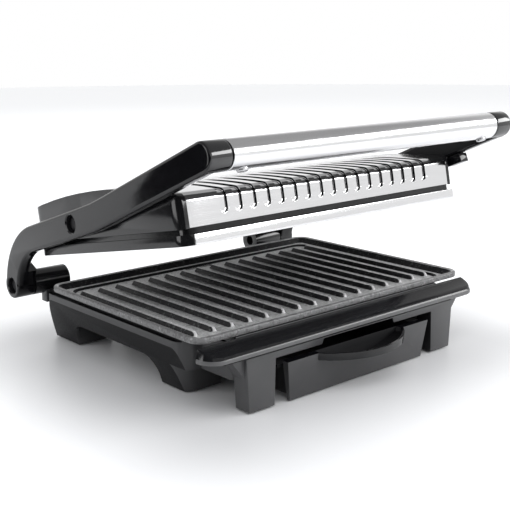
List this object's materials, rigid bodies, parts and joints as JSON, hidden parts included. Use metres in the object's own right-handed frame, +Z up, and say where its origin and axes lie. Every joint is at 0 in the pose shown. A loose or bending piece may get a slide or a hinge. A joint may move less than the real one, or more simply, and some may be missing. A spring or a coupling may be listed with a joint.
{
  "type": "panini press",
  "caption": "Contact grill with a floating ridged upper plate on two hinged arms, a tube handle, a ridged lower plate and a slide-out drip tray.",
  "frame": {"origin": "centre of the footprint on the worktop, with the lid at its rest opening", "axes": "+X to the press's right seen from its front, +Y from the handle to the rear hinge, +Z up from the worktop"},
  "size_m": [0.274, 0.2492, 0.1693],
  "materials": {
    "satin_black": "satin",
    "gloss_black": "gloss",
    "plate_coating": "speckled stone-look coating",
    "steel": "brushed",
    "handle_steel": "fine brushed",
    "pin_steel": "plain",
    "screw_steel": "blackened",
    "rod_steel": "heat darkened",
    "shield_sheet": "plain sheet",
    "ceramic": "matt",
    "rubber": "matt",
    "lamp_red": "translucent gloss"
  },
  "bodies": {
    "base": {"base_shell": "satin_black", "front_apron": "gloss_black", "tray_surround": "satin_black", "bottom_cover": "satin_black", "lower_grill_plate": "plate_coating", "lower_heating_rod": "rod_steel", "lower_heat_shield": "shield_sheet", "lower_thermostat": "ceramic", "terminal_block": "ceramic", "cord_gland": "rubber", "rubber_feet": "rubber", "base_screws": "screw_steel"},
    "arms": {"hinge_pins": "pin_steel", "left_arm": "gloss_black", "right_arm": "gloss_black", "handle_tube": "handle_steel", "handle_screws": "screw_steel"},
    "lid": {"upper_housing": "gloss_black", "steel_cover": "steel", "lid_frame": "gloss_black", "front_trim": "steel", "upper_grill_plate": "plate_coating", "upper_heating_rod": "rod_steel", "upper_heat_shield": "shield_sheet", "upper_thermostat": "ceramic", "pilot_lights": "lamp_red", "cover_screws": "pin_steel", "lid_screws": "screw_steel", "pivot_pins": "pin_steel"},
    "drip_tray": {"drip_tray": "satin_black"},
    "lock_slider": {"lock_slider": "gloss_black"}
  },
  "joints": [
    {"name": "open", "type": "hinge", "parent": "base", "child": "arms", "pos_m": [0, 0.11535, 0.0455], "axis": [-1, 0, 0], "range_deg": [-19.3, 75]},
    {"name": "lid_float", "type": "hinge", "parent": "arms", "child": "lid", "pos_m": [0, 0.02794, 0.10419], "axis": [-1, 0, 0], "range_deg": [-30.5, 7.85]},
    {"name": "tray_slide", "type": "slide", "parent": "base", "child": "drip_tray", "axis": [0, -1, 0], "range_m": [0, 0.11]},
    {"name": "lock_slide", "type": "slide", "parent": "arms", "child": "lock_slider", "axis": [0, 0.9183, -0.3959], "range_m": [0, 0.012]}
  ],
  "couplings": [
    {"joint": "lid_float", "follows": "open", "ratio": -0.4041}
  ]
}
